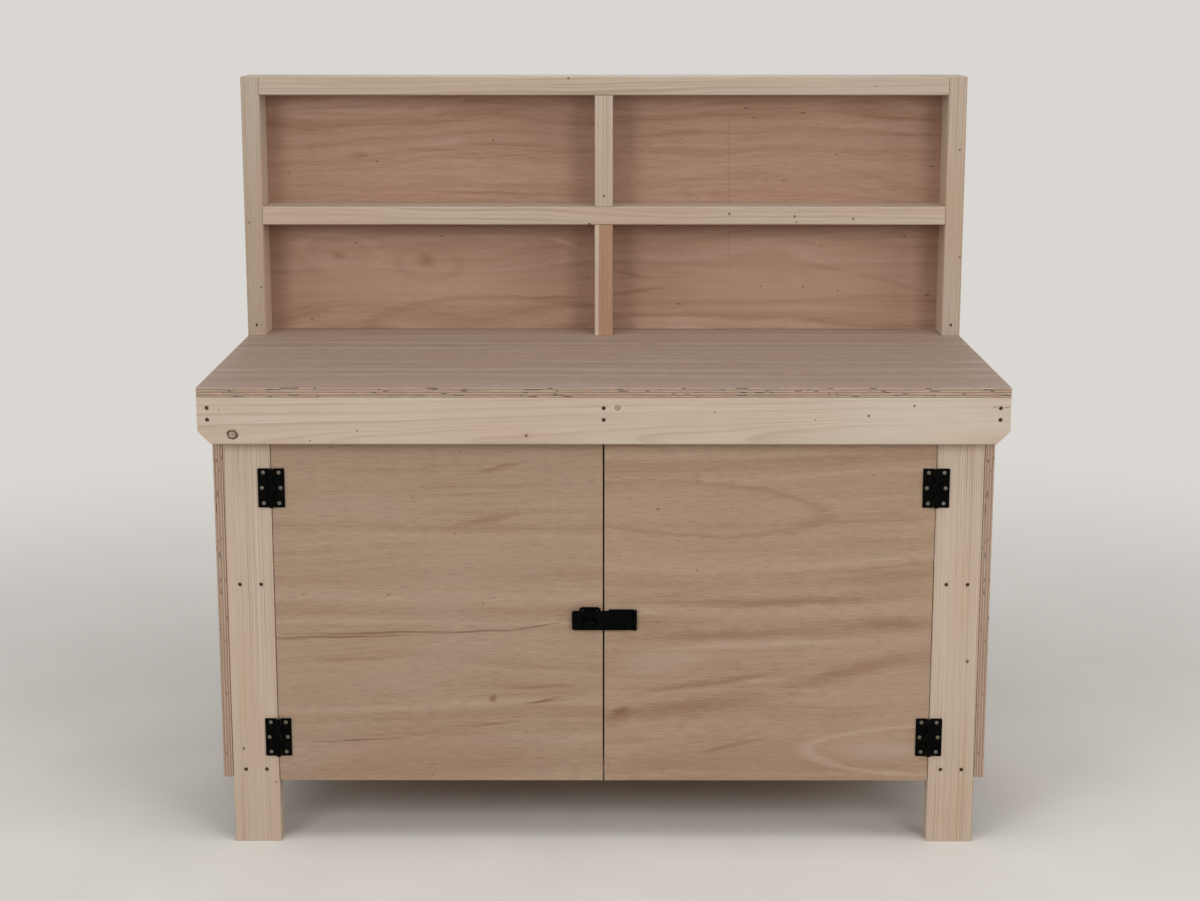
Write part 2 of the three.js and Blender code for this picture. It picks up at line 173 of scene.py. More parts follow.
def makeBackdrop():
    world = bpy.data.worlds.new("studio")
    world.use_nodes = True
    tree = world.node_tree
    tree.nodes.clear()
    ambient = addNode(tree, "Background", {"Color": (1, 1, 1, 1), "Strength": studio["ambient"]})
    pale = addNode(tree, "Background", {"Color": hexColour(studio["backdrop"]), "Strength": 1.0})
    mixed = addNode(tree, "MixShader", [seenDirectly(tree), ambient, pale])
    addNode(tree, "OutputWorld", {"Surface": mixed})
    bpy.context.scene.world = world


def makeFloor():
    mesh = bmesh.new()
    bmesh.ops.create_circle(mesh, cap_ends=True, segments=64, radius=studio["floorReach"])
    floor = meshObject("floor", mesh)
    material, tree = newMaterial("paleFloor")  # sealed concrete, trowelled: pale, even and dull
    where = addNode(tree, "TexCoord").outputs["Object"]
    mottle = addNode(tree, "TexNoise", {"Vector": where, "Scale": studio["floorPatches"], "Detail": 4.0})
    stops = list(zip(noiseLimits, (studio["floor"], studio["floorMottle"])))
    shade = addNode(tree, "ValToRGB", [mottle], stops=stops)
    dull = {"Base Color": shade, "Roughness": 0.8, "Specular IOR Level": 0.2}
    near = addNode(tree, "BsdfPrincipled", dull)
    far = addNode(tree, "Emission", {"Color": hexColour(studio["backdrop"]), "Strength": 1.0})
    distance = addNode(tree, "VectorMath", [where], operation="LENGTH")
    fade = addNode(tree, "MapRange", [distance, *studio["floorFade"]], interpolation_type="SMOOTHSTEP")
    faded = addNode(tree, "Math", [fade, seenDirectly(tree)], operation="MULTIPLY")
    mixed = addNode(tree, "MixShader", [faded, near, far])
    addNode(tree, "OutputMaterial", {"Surface": mixed})
    floor.data.materials.append(material)


bpy.context.scene.view_settings.view_transform = "Standard"
makeCamera()
makeLamps()
makeBackdrop()
makeFloor()
print("studio:", len(studio["lamps"]), "lamps, camera and floor")


# Patterns and finish that both kinds of timber share

rightThrough = 1e6  # a mark this deep, in millimetres, shows on both faces of any board
seedStep = (811.0, 237.0, 149.0)  # how far apart two pieces lie in the patterns, in millimetres


def placeInPiece(tree, order, seed):
    # object coordinates in millimetres, as along, across and through the piece, and a copy of them that is
    # moved for each piece
    where = addNode(tree, "TexCoord")
    split = addNode(tree, "SeparateXYZ", [where.outputs["Object"]])
    joined = addNode(tree, "CombineXYZ", {i: split.outputs[axis] for i, axis in enumerate(order)})
    place = addNode(tree, "VectorMath", {0: joined, "Scale": 1 / mm}, operation="SCALE")
    shift = [seed * step for step in seedStep]
    moved = addNode(tree, "VectorMath", [place, shift], operation="ADD")
    return where, place, moved


def streaks(tree, place, length, width, depth=None, **settings):
    # soft patches that run along the grain, as deep as they are wide where no depth is given
    size = (length, width, depth or width)
    scaled = addNode(tree, "Mapping", {"Vector": place, "Scale": size}, vector_type="TEXTURE")
    return addNode(tree, "TexNoise", {"Vector": scaled, "Scale": 1.0, **settings})


def bendPlace(tree, place, moved, patch, reach):
    # the place in a piece, moved to and fro by up to half the reach
    waves = streaks(tree, moved, *patch, Detail=1.0).outputs["Color"]
    centred = addNode(tree, "VectorMath", [waves, [noiseMiddle] * 3], operation="SUBTRACT")
    return addNode(tree, "VectorMath", [centred, reach, place], operation="MULTIPLY_ADD")


def nearestMark(tree, place, marks):
    # distance to the nearest mark, 1 at its rim; a mark is (along, across, half length, half width, tilt)
    nearest = None
    for along, across, halfLength, halfWidth, tilt in marks:
        settings = {
            "Vector": place,
            "Location": (along, across, 0),
            "Rotation": (0, 0, math.radians(tilt)),
            "Scale": (halfLength, halfWidth, rightThrough),
        }
        centred = addNode(tree, "Mapping", settings, vector_type="TEXTURE")
        distance = addNode(tree, "VectorMath", [centred], operation="LENGTH")
        if nearest:
            distance = addNode(tree, "Math", [nearest, distance], operation="MINIMUM")
        nearest = distance
    return nearest


def raggedMark(tree, pattern, reach, distance):
    # the distance to a mark, with a rim that a pattern breaks up
    centred = addNode(tree, "Math", [pattern, noiseMiddle], operation="SUBTRACT")
    return addNode(tree, "Math", [centred, reach, distance], operation="MULTIPLY_ADD")


def fromRim(tree, distance, rim):
    # how far a place lies to either side of a rim, or of the middle of a ply
    past = addNode(tree, "Math", [distance, rim], operation="SUBTRACT")
    return addNode(tree, "Math", [past], operation="ABSOLUTE")


def layTone(tree, colour, tone, pattern, start, full, strength, **settings):
    # lays a tone over the colour, from none where the pattern is at start to its strength where it is full
    amount = addNode(tree, "MapRange", [pattern, start, full, 0.0, strength], **settings)
    return addNode(tree, "Mix", {0: amount, 6: colour, 7: hexColour(tone)}, data_type="RGBA")


def varyValue(tree, colour, pattern, limits, values):
    # darkens and lightens the colour by two values, where the pattern is at its two limits
    shade = addNode(tree, "MapRange", [pattern, *limits, *values])
    return addNode(tree, "HueSaturation", {"Color": colour, "Value": shade})


bareWood = {"IOR": 1.5, "bump": 0.2}  # unsealed; the fibres stand up by this much at most


def finishTimber(tree, look, colour, fibre, relief):
    rough = addNode(tree, "MapRange", [fibre, *noiseLimits, *look["roughness"]])
    raised = {"Strength": look["raised"], "Distance": bareWood["bump"] * mm, "Height": relief}
    bump = addNode(tree, "Bump", raised)
    surface = {
        "Base Color": colour, "Roughness": rough, "Normal": bump,
        "IOR": bareWood["IOR"], "Specular IOR Level": look["gloss"],
    }
    addNode(tree, "OutputMaterial", {"Surface": addNode(tree, "BsdfPrincipled", surface)})


# Timber

# Planed spruce, dry and unsealed. Growth rings cut by the planer show as darker latewood lines, close and
# straight where the face runs across them, wide and waved where it runs along them. Knots turn them aside.
spruce = {
    "early": "#c6b4a2",
    "late": "#a08163",
    "warm": "#bfa388",
    "sap": "#cec0b1",
    "heart": "#9a6c4a",
    "knot": "#a38d7a",
    "rim": "#3f2a1d",
    "small": "#54361f",
    "endGrain": "#ad957e",
    "latewood": (0.5, 0.86, 0.94),  # shares of a ring where it starts, is full and stops
    "figure": (0.3, 0.8),  # how strongly it shows in faint and in marked stretches
    "figureLimits": (0.36, 0.66),
    "figurePatch": (420, 34),  # length and width of these stretches
    "warmPatch": (380, 70),
    "ringWidth": 2.6,
    "years": (0.37, 3.6),  # turns between good and bad years, to a ring, and the rings that they move it by
    "lean": (0.3, 0.3),  # degrees that the pith leans across and through a stud that says nothing else
    "sway": 3.0,  # how far the rings wander across the stud
    "swayPatch": (340, 90),
    "knotLength": 1.2,  # knots lie a little along the grain
    "swirlSize": 2.5,  # knots over this half width turn the rings aside
    "swirlPush": 0.7,  # by this much at most, in half widths
    "swirlReach": (0.8, 2.8),  # wholly up to the first distance across the grain, and not past the second
    "swirlLength": 2.0,  # and this many times as far along it
    "faintSize": 4.0,  # knots over this half width show pale wood in a faint ring, and smaller ones are dark
    "ringedSize": 5.0,  # knots over this one have a dark ring of bark
    "ringShown": {"faint": 0.64, "ringed": 0.92},
    "ringPlace": 0.88,  # the middle of the ring, in half widths
    "bark": 6,  # lumps in the outline of a knot
    "ragged": 0.9,  # how far they move it, in half widths
    "heartRim": 1.0,  # the heart sets in over this, to either side of its rim
    "fibre": (80, 2.0),  # length and width; real fibres are finer, and are drawn as coarse as they show
    "fibreShade": (0.95, 1.04),
    "roughness": (0.72, 0.55),
    "raised": 0.25,  # how much of the relief shows
    "ringRelief": 0.35,  # latewood against fibre
    "gloss": 0.35,
}

# Studs by grain direction: pith is where the heart of the tree lay, across and through the stud from its
# middle, lean tips it in degrees, knots are (along, across, half width), and splits (along, across, half
# length, half width, tilt), placed in the bench's own frame. Warm and sap are stretches of a warmer and a
# paler tone, placed as splits are. Tone is that of the front and back faces, and side that of the others
# where they differ. Side is painted light and shade: those faces are lighter or darker by how the light
# falls on them. On the shelf unit's studs the lower tone is partly their own and partly painted shade.
studs = {
    "front_apron": {
        "tone": 0.95, "figure": 0.55, "grain": "x", "pith": (-36, 104), "lean": (0.25, 0.45),
        "ringWidth": 3.1,
        "knots": [
            (-685, 812, 8.2), (-542, 800, 1.5), (-455, 819, 1.7), (-143, 810, 2.8), (26, 862, 4.2),
            (205, 853, 1.3), (390, 840, 1.4), (488, 847, 2.2), (572, 866, 2.4), (-709, 858, 1.1),
        ],
        "splits": [(742, 863, 8, 0.8, 0), (720, 864, 6, 0.7, 0)],
        "sap": [(600, 846, 260, 60, 0)],
    },
    "rear_apron": {
        "grain": "x", "pith": (-20, -90), "lean": (-0.4, 0.5), "knots": [(-220, 842, 6.0), (405, 820, 3.0)],
    },
    "end_rail_left": {"grain": "y", "pith": (30, 60), "knots": [(90, 850, 3.5)]},
    "end_rail_right": {"grain": "y", "pith": (-26, -58), "knots": [(-120, 846, 4.0)]},
    "centre_rail": {"grain": "y", "pith": (20, 62)},
    "front_leg_left": {
        "tone": 0.97, "figure": 1.25, "grain": "z", "pith": (-150, 40), "lean": (0.2, 0.1), "ringWidth": 2.6,
        "knots": [(188, -690, 2.6), (120, -630, 1.8)],
    },
    "front_leg_right": {
        "tone": 0.97, "figure": 1.25, "grain": "z", "pith": (146, 52), "lean": (-0.2, 0.1), "ringWidth": 2.7,
        "knots": [(363, 692, 3.4)],
    },
    "rear_leg_left": {"grain": "z", "pith": (90, 60), "knots": [(420, -660, 4.0)]},
    "rear_leg_right": {"grain": "z", "pith": (-80, 64), "knots": [(300, 655, 3.0)]},
    "base_rail_front": {"grain": "x", "pith": (30, 60)},
    "base_rail_rear": {"grain": "x", "pith": (-30, 64)},
    "mid_rail_front": {"grain": "x", "pith": (26, -60)},
    "mid_rail_rear": {"grain": "x", "pith": (-24, 70)},
    # on the shelf unit's studs, side is painted light and shade on the faces beside the front, and the lower
    # tone is partly painted shade, as less light reaches them
    "hutch_upright_left": {
        "tone": 0.74, "side": 1.0, "figure": 0.75, "grain": "z", "pith": (-70, 90), "lean": (0.2, 0.2),
        "knots": [(1139, -740, 2.2), (1002, -719, 2.0)],
        "warm": [(1010, -731, 330, 90, 0)],
    },
    "hutch_upright_right": {
        "tone": 0.79, "side": 0.95, "figure": 0.75, "grain": "z", "pith": (66, 84), "lean": (0.2, -0.2),
        "knots": [(1290, 738, 2.4), (1067, 745, 2.4)],
        "warm": [(1150, 731, 170, 90, 0)],
    },
    "hutch_top_rail": {
        "tone": 0.8, "side": 0.7, "figure": 0.65, "grain": "x", "pith": (-46, 96), "lean": (0.2, 0.2),
        "knots": [(-73, 1437, 2.2), (560, 1420, 1.6)],
    },
    "hutch_shelf": {
        "tone": 0.88, "side": 0.78, "figure": 0.65, "grain": "x", "pith": (40, 92), "lean": (-0.2, 0.25),
        "knots": [(-30, 1136, 2.6), (262, 1157, 2.4), (398, 1152, 2.2), (402, 1140, 1.8), (520, 1147, 2.2)],
    },
    "hutch_post_upper": {"tone": 0.85, "figure": 0.6, "grain": "z", "pith": (64, 80), "lean": (0.3, 0.2)},
    "hutch_post_lower": {"grain": "z", "pith": (12, -30), "heart": 26, "ringWidth": 4.2},
}
grainOrder = {"x": "XZY", "y": "YZX", "z": "ZXY"}  # along, across and through the stud


def facingShare(tree, where, letter):
    # 1 on faces square to an axis and 0 on faces along it
    axis = [1.0 if other == letter else 0.0 for other in "XYZ"]
    facing = addNode(tree, "VectorMath", [where.outputs["Normal"], axis], operation="DOT_PRODUCT")
    return addNode(tree, "Math", [facing], operation="ABSOLUTE")


def turnAside(tree, place, rings, knot):
    # pushes the rings away from a knot
    along, across, size = knot
    scale = (spruce["swirlLength"] * size, size, rightThrough)
    eye = {"Vector": place, "Location": (along, across, 0), "Scale": scale}
    fromKnot = addNode(tree, "Mapping", eye, vector_type="TEXTURE")
    distance = addNode(tree, "VectorMath", [fromKnot], operation="LENGTH")
    fading = [distance, *spruce["swirlReach"], -spruce["swirlPush"] * size, 0]
    pushed = addNode(tree, "MapRange", fading, interpolation_type="SMOOTHERSTEP")
    aside = addNode(tree, "VectorMath", [fromKnot, (0, 1, 0)], operation="MULTIPLY")
    return addNode(tree, "VectorMath", [aside, pushed, rings], operation="MULTIPLY_ADD")


def growthRings(tree, node, spec, place, moved):
    # distance from the pith, and how far through a year's ring a place lies
    order = grainOrder[spec["grain"]]
    middle = [span(node)[1]["XYZ".index(axis)] for axis in order]
    pith = (middle[0], middle[1] + spec["pith"][0], middle[2] + spec["pith"][1])
    swing = (0, 2 * spruce["sway"], 2 * spruce["sway"])
    rings = bendPlace(tree, place, moved, spruce["swayPatch"], swing)
    for knot in spec.get("knots", []):
        if knot[2] > spruce["swirlSize"]:
            rings = turnAside(tree, place, rings, knot)
    leanAcross, leanThrough = spec.get("lean", spruce["lean"])
    turn = (0, math.radians(leanThrough), math.radians(leanAcross))
    core = {"Vector": rings, "Location": pith, "Rotation": turn, "Scale": (rightThrough, 1, 1)}
    section = addNode(tree, "Mapping", core, vector_type="TEXTURE")
    radius = addNode(tree, "VectorMath", [section], operation="LENGTH")
    width = spec.get("ringWidth", spruce["ringWidth"])
    count = addNode(tree, "Math", [radius, width], operation="DIVIDE")
    turns, reach = spruce["years"]
    years = addNode(tree, "TexNoise", {"W": count, "Scale": turns, "Detail": 1.0}, noise_dimensions="1D")
    uneven = addNode(tree, "Math", [years, reach, count], operation="MULTIPLY_ADD")
    return radius, addNode(tree, "Math", [uneven], operation="FRACT")


def ringFigure(tree, spec, moved, phase):
    # latewood lines, stronger in some stretches than in others, and warm patches over them
    early, late = spruce["early"], spruce["late"]
    starts, full, stopped = spruce["latewood"]
    stops = [(0.0, early), (starts, early), (full, late), (stopped, late), (1.0, early)]
    rings = addNode(tree, "ValToRGB", [phase], stops=stops)
    stretches = streaks(tree, moved, *spruce["figurePatch"], Detail=1.0)
    shares = [share * spec.get("figure", 1.0) for share in spruce["figure"]]
    shown = addNode(tree, "MapRange", [stretches, *spruce["figureLimits"], *shares])
    colour = addNode(tree, "Mix", {0: shown, 6: hexColour(early), 7: rings}, data_type="RGBA")
    patches = streaks(tree, moved, *spruce["warmPatch"], Detail=2.0)
    return layTone(tree, colour, spruce["warm"], patches, start=0.42, full=0.72, strength=0.45)


def knotKind(size):
    if size > spruce["ringedSize"]:
        return "ringed"
    return "faint" if size > spruce["faintSize"] else "dark"


def markKnots(tree, spec, colour, place, moved):
    # small knots are dark spots, and larger ones have paler wood in a ring of bark, and a dark heart
    knots = {"dark": [], "faint": [], "ringed": []}
    for along, across, size in spec.get("knots", []):
        knots[knotKind(size)].append((along, across, spruce["knotLength"] * size, size, 0))
    bark = addNode(tree, "TexNoise", {"Vector": moved, "Scale": 1 / spruce["bark"], "Detail": 2.0})
    for kind, marks in knots.items():
        if not marks:
            continue
        distance = raggedMark(tree, bark, spruce["ragged"], nearestMark(tree, place, marks))
        if kind == "dark":
            colour = layTone(tree, colour, spruce["small"], distance, start=1.15, full=0.6, strength=0.9)
            continue
        ringed = spruce["ringShown"][kind]
        fromBark = fromRim(tree, distance, spruce["ringPlace"])
        colour = layTone(tree, colour, spruce["knot"], distance, start=1.05, full=0.85, strength=0.8 * ringed)
        colour = layTone(tree, colour, spruce["rim"], fromBark, start=0.34, full=0.12, strength=ringed)
        colour = layTone(tree, colour, spruce["rim"], distance, start=0.35, full=0.12, strength=0.5)
    return colour


def spruceMaterial(node, spec, seed):
    material, tree = newMaterial("spruce_" + node)
    order = grainOrder[spec["grain"]]
    # the stud's tone; on the shelf unit's studs it is partly painted shade
    tone = spec.get("tone", 1.0)
    where, place, moved = placeInPiece(tree, order, seed)
    radius, phase = growthRings(tree, node, spec, place, moved)
    colour = ringFigure(tree, spec, moved, phase)
    if "heart" in spec:
        outer, inner = spec["heart"] + spruce["heartRim"], spec["heart"] - spruce["heartRim"]
        colour = layTone(tree, colour, spruce["heart"], radius, start=outer, full=inner, strength=0.765)
    for stretch in ("warm", "sap"):
        if stretch in spec:
            distance = nearestMark(tree, place, spec[stretch])
            colour = layTone(tree, colour, spruce[stretch], distance, start=1.0, full=0.3, strength=0.5)
    fibre = streaks(tree, moved, *spruce["fibre"], Detail=2.0)
    shades = [shade * tone for shade in spruce["fibreShade"]]
    colour = varyValue(tree, colour, fibre, noiseLimits, shades)

    # the other faces take the side tone: painted light and shade, lighter or darker than the front faces
    #     # by how the light falls on them
    if "side" in spec:
        front = facingShare(tree, where, order[2])
        colour = varyValue(tree, colour, front, limits=(0.4, 0.8), values=(spec["side"] / tone, 1.0))

    # sawn ends are darker, because they drink the light between the open fibres
    ended = facingShare(tree, where, order[0])
    colour = layTone(tree, colour, spruce["endGrain"], ended, start=0.6, full=0.9, strength=0.5)

    colour = markKnots(tree, spec, colour, place, moved)
    if "splits" in spec:
        distance = nearestMark(tree, place, spec["splits"])
        colour = layTone(tree, colour, spruce["rim"], distance, start=1.0, full=0.5, strength=0.9)
    relief = addNode(tree, "Math", [phase, spruce["ringRelief"], fibre], operation="MULTIPLY_ADD")
    finishTimber(tree, spruce, colour, fibre, relief)
    return material


# Plywood with rotary-cut hardwood faces, sanded and unsealed. The peeled veneer shows long drifting bands
# and short fine pores along the grain. At the edges the plies lie in turn along and across it, with dark
# glue lines between them and dark gaps where a ply was short.
plywood = {
    "thickness": 18,
    "veneer": 0.7,
    "plies": 7,
    "band": 34,
    "swell": (900, 130),
    "drift": 3.2,  # bands that the swell moves the figure by
    "pinkness": 0.9,  # how far the warm tone covers the bands where it is full
    "bend": (90, 30),  # length and width of the waves that bend the marks, and how far they move them
    "bent": (20, 9, 0),
    "broken": (150, 10),  # length and width of the patches that break the bands up, and their share
    "brokenShare": 0.3,
    "cloud": (260, 120),
    "fibre": (38, 2.2),  # length and width; real fibres and pores are finer, and are drawn as they show
    "fibreShade": (-0.1, 0.09),  # how much darker and lighter fibres are
    "pore": (21, 1.8),
    "poreLimits": (0.54, 0.7),
    "poreShade": -0.2,
    "sawn": (16, 1.1),  # length and width of the fibres that the saw left at the edges
    "sawnShade": (0.8, 1.15),
    "apart": 0.27,  # plies that the flaws of one ply reach across
    "ragged": 0.9,  # how far the fibres break the rim of a mark, in its half widths
    "tones": ["#92725a", "#a2886f", "#b09782"],  # dark, middle and light bands
    "pink": "#a3846d",
    "longPly": "#b5a08c",
    "crossPly": "#997d6b",
    "roughness": (0.74, 0.58),
    "raised": 0.2,  # how much of the relief shows
    "gloss": 0.3,
}

# Flaws at the edges come in stretches of a length, with limits for their pattern and for how strongly they
# show. Glue lies at the joints between plies, 0.5 from the middle of one, and gaps lie in its middle.
plyFlaws = {
    "glue": {
        "tone": "#654839", "length": 130, "limits": (0.38, 0.62), "shown": (0.15, 0.95), "lies": (0.36, 0.46)
    },
    "gap": {
        "tone": "#35221a", "length": 24, "limits": (0.64, 0.69), "shown": (0.0, 0.95), "lies": (0.38, 0.14)
    },
}

# Marks in the face veneer, from the rim of the mark to where it is full; pale figure and painted light share
# one kind. One with a breadth is its rim alone, and one that is straight isn't bent with the grain.
veneerMarks = {
    "pale": {"tone": "#b19b8b", "strength": 0.45, "full": 0.2},
    # pale figure, and painted light where a mark lightens a whole shaded bay
    "paleFigureAndPaintedLight": {"tone": "#bd9a86", "strength": 0.45, "full": 0.2},
    "deep": {"tone": "#94725a", "strength": 0.35, "full": 0.2},
    "ray": {"tone": "#bca898", "strength": 0.42, "full": 0.0, "breadth": 0.1},
    "loop": {"tone": "#86634a", "strength": 0.36, "full": 0.0, "breadth": 0.14},
    "band": {"tone": "#86634a", "strength": 0.6, "full": 0.0},
    "line": {"tone": "#6f503a", "strength": 0.7, "full": 0.1},
    "halo": {"tone": "#bd9a86", "strength": 0.32, "full": 0.0, "breadth": 0.2},
    "ripple": {"tone": "#86634a", "strength": 0.18, "full": 0.0, "breadth": 0.3},
    "fleck": {"tone": "#5d4030", "strength": 0.75, "full": 0.4, "straight": True},
    "join": {"tone": "#5d4030", "strength": 0.3, "full": 0.5, "straight": True},
}
# the worktop's tones: its own, and partly painted shade that keeps its upward face darker than the doors
topTones = ["#8b7565", "#9f8b7c", "#b09f92"]
backTones = ["#8e6a53", "#a8856f", "#b89988"]

# Boards by the order of their axes, with the face grain first and the thickness last. Rise is how far that
# grain climbs, in degrees, pink the warm tone that drifts over the face, and fibre how strongly it shows.
sheets = {
    "worktop": {
        "order": "XYZ", "tones": topTones, "pink": "#a08878", "rise": 0,
        "marks": {"fleck": [(483, -98, 5, 3, 0), (249, 323, 12, 4, 0)]},
    },
    "left_door": {
        "order": "XZY", "pink": "#a68e7a", "rise": 1.0,
        "marks": {
            # darker across the lower part of the door
            "deep": [(-330, 165, 340, 100, 0)],
            "line": [
                (-510, 411, 220, 4.4, 1.2), (-420, 419, 240, 3.6, 0.9), (-245, 422, 125, 3.4, 3.4),
                (-130, 433, 80, 2.8, 8.0), (-480, 204, 118, 2.2, 1.7), (-211, 289, 9, 12, 15),
                (-108, 287, 45, 4.5, 12),
            ],
            "band": [
                (-218, 640, 90, 10, 11), (-200, 739, 72, 8, 13), (-211, 290, 11, 14, 0),
                (-220, 236, 70, 6, 6), (-120, 312, 100, 6, 3), (-110, 285, 90, 5, 6),
            ],
            "fleck": [
                (-269, 772, 3, 1.4, 0), (-358, 683, 4, 1.6, 0), (-280, 613, 4, 1.4, 0),
                (-407, 494, 3, 2, 0), (-228, 476, 3.5, 1.6, 0), (-568, 494, 4, 1.5, 0),
                (-147, 223, 3, 1.2, 0), (-328, 136, 3, 1.4, 0),
            ],
        },
    },
    "right_door": {
        "order": "XZY", "pink": "#ab8e77", "rise": 1.8,
        "marks": {
            # darker across the lower part of the door
            "deep": [(280, 170, 340, 80, 0)],
            "ray": [(680, 184, 290, 50, 0)],
            "loop": [(150, 662, 262, 52, -3), (180, 660, 180, 26, -3)],
            "line": [(30, 262, 32, 14, 24)],
            "band": [
                (210, 413, 330, 18, 2.6), (545, 438, 140, 24, 0), (170, 276, 270, 30, 7),
                (480, 346, 230, 24, 14), (490, 353, 210, 7, 12), (40, 256, 70, 22, 22),
                (200, 320, 230, 12, 9), (330, 480, 280, 16, 3), (235, 192, 90, 7, 14),
            ],
            "pale": [(530, 186, 120, 34, 0), (250, 393, 280, 8, 3), (110, 360, 130, 28, 4)],
            "fleck": [(102, 661, 4, 2.6, 0), (176, 542, 1.8, 4, 0), (505, 726, 6, 1.2, -12)],
        },
    },
    "hutch_back": {
        "order": "XZY", "tones": backTones, "pink": "#a37f6a", "rise": 0.5, "fibre": 0.8,
        "swell": (520, 110), "drift": 4.2, "pinkness": 0.65,
        "marks": {
            # the first two are painted light over the lower bay that the shelf shades; the others are pale
            # figure
            "paleFigureAndPaintedLight": [
                (-400, 1020, 420, 120, 0), (400, 1020, 420, 120, 0), (-560, 1030, 130, 55, -20),
                (-230, 1100, 140, 6, 0), (-80, 1088, 64, 6, -18), (-480, 975, 70, 9, 8),
            ],
            "halo": [(-562, 1066, 84, 36, -8)],
            "ripple": [(-372, 1043, 66, 36, 0)],
            "deep": [
                (470, 1034, 80, 8, -8), (610, 1002, 110, 8, -14), (425, 962, 280, 6, 2.3),
                (600, 1099, 130, 8, 2), (370, 1352, 190, 9, 0), (560, 934, 160, 6, 2),
                (-642, 946, 26, 7, 0), (-512, 917, 40, 8, 4),
            ],
            "band": [
                (-520, 1273, 30, 11, 0), (-567, 1060, 26, 12, 0), (-378, 1048, 32, 24, -20),
                (-230, 1192, 240, 6, -2), (-100, 968, 110, 6, 0), (80, 983, 90, 7, 7), (56, 1021, 70, 7, -15),
            ],
            "loop": [(-230, 900, 270, 68, 0)],
            "line": [(-230, 1270, 200, 1.2, 2.8)],
            "fleck": [
                (300, 1371, 7, 2.6, -10), (420, 1361, 8, 3, 0), (317, 1351, 9, 1.4, 0),
                (492, 1274, 7, 1.8, 0), (694, 1248, 9, 1.8, 0), (382, 1219, 4, 2, 0),
                (164, 1307, 4, 1.5, 0), (336, 993, 3, 2, 0), (426, 991, 5, 1.8, 0), (501, 983, 4, 2, 0),
                (692, 974, 7, 3, 0), (162, 954, 8, 2, -8), (463, 1080, 5, 1.5, 0), (641, 1099, 5, 2, 0),
                (-234, 1304, 4, 2, 0), (-667, 1236, 4, 2, 0), (-480, 1259, 6, 2, 8), (-346, 1100, 4, 2, 0),
                (-528, 1086, 5, 2, 0), (-36, 1012, 6, 1.5, 0), (-626, 922, 5, 2, 0),
            ],
            "join": [(264.5, 1170, 0.8, 272, 0.5)],
        },
    },
    "cabinet_back": {"order": "XZY", "tones": backTones, "pink": "#a37c68", "rise": 1.0},
    "side_panel_left": {"order": "YZX", "rise": 1.5},
    "side_panel_right": {"order": "YZX", "rise": -1.5},
    "base_shelf": {"order": "XYZ", "rise": 1.0},
    "mid_shelf": {"order": "XYZ", "rise": -1.0},
}


def veneerFigure(tree, spec, moved):
    # bands that drift across the board, clouds of a warmer tone, fibres and pores
    grain = {"Vector": moved, "Rotation": (0, 0, math.radians(spec["rise"])), "Scale": (1, 1, rightThrough)}
    flat = addNode(tree, "Mapping", grain, vector_type="TEXTURE")
    swell = streaks(tree, flat, *spec.get("swell", plywood["swell"]), Detail=1.5, Roughness=0.45)
    across = addNode(tree, "SeparateXYZ", [flat]).outputs["Y"]
    bands = addNode(tree, "Math", [across, plywood["band"]], operation="DIVIDE")
    reach = spec.get("drift", plywood["drift"])
    drift = addNode(tree, "Math", [swell, reach, bands], operation="MULTIPLY_ADD")
    banding = {"W": drift, "Scale": 1.0, "Detail": 4.0, "Roughness": 0.65}
    banded = addNode(tree, "TexNoise", banding, noise_dimensions="1D")
    broken = streaks(tree, flat, *plywood["broken"], Detail=2.0)
    figure = addNode(tree, "Mix", {0: plywood["brokenShare"], 2: banded, 3: broken}, data_type="FLOAT")
    dark, light = noiseLimits
    stops = list(zip((dark, noiseMiddle, light), spec.get("tones", plywood["tones"])))
    colour = addNode(tree, "ValToRGB", [figure], stops=stops)
    clouds = streaks(tree, flat, *plywood["cloud"], Detail=3.0)
    pinkness = spec.get("pinkness", plywood["pinkness"])
    colour = layTone(tree, colour, spec.get("pink", plywood["pink"]), clouds, *noiseLimits, pinkness)
    marked = spec.get("fibre", 1.0)
    fibre = streaks(tree, flat, *plywood["fibre"], Detail=3.0)
    shades = [1 + share * marked for share in plywood["fibreShade"]]
    colour = varyValue(tree, colour, fibre, noiseLimits, shades)
    pores = streaks(tree, flat, *plywood["pore"], Detail=2.0)
    shades = (1.0, 1 + plywood["poreShade"] * marked)
    return varyValue(tree, colour, pores, plywood["poreLimits"], shades), fibre


def markVeneer(tree, spec, colour, fibre, place, moved):
    # marks that the grain bends, with edges that the fibres break up
    bent = bendPlace(tree, place, moved, plywood["bend"], plywood["bent"])
    for kind, marks in spec.get("marks", {}).items():
        look = veneerMarks[kind]
        start = look.get("breadth", 1.0)
        distance = nearestMark(tree, place if "straight" in look else bent, marks)
        distance = raggedMark(tree, fibre, plywood["ragged"] * math.sqrt(start), distance)
        if "breadth" in look:
            distance = fromRim(tree, distance, 1.0)
        shown = (start, look["full"], look["strength"])
        colour = layTone(tree, colour, look["tone"], distance, *shown, interpolation_type="SMOOTHSTEP")
    return colour


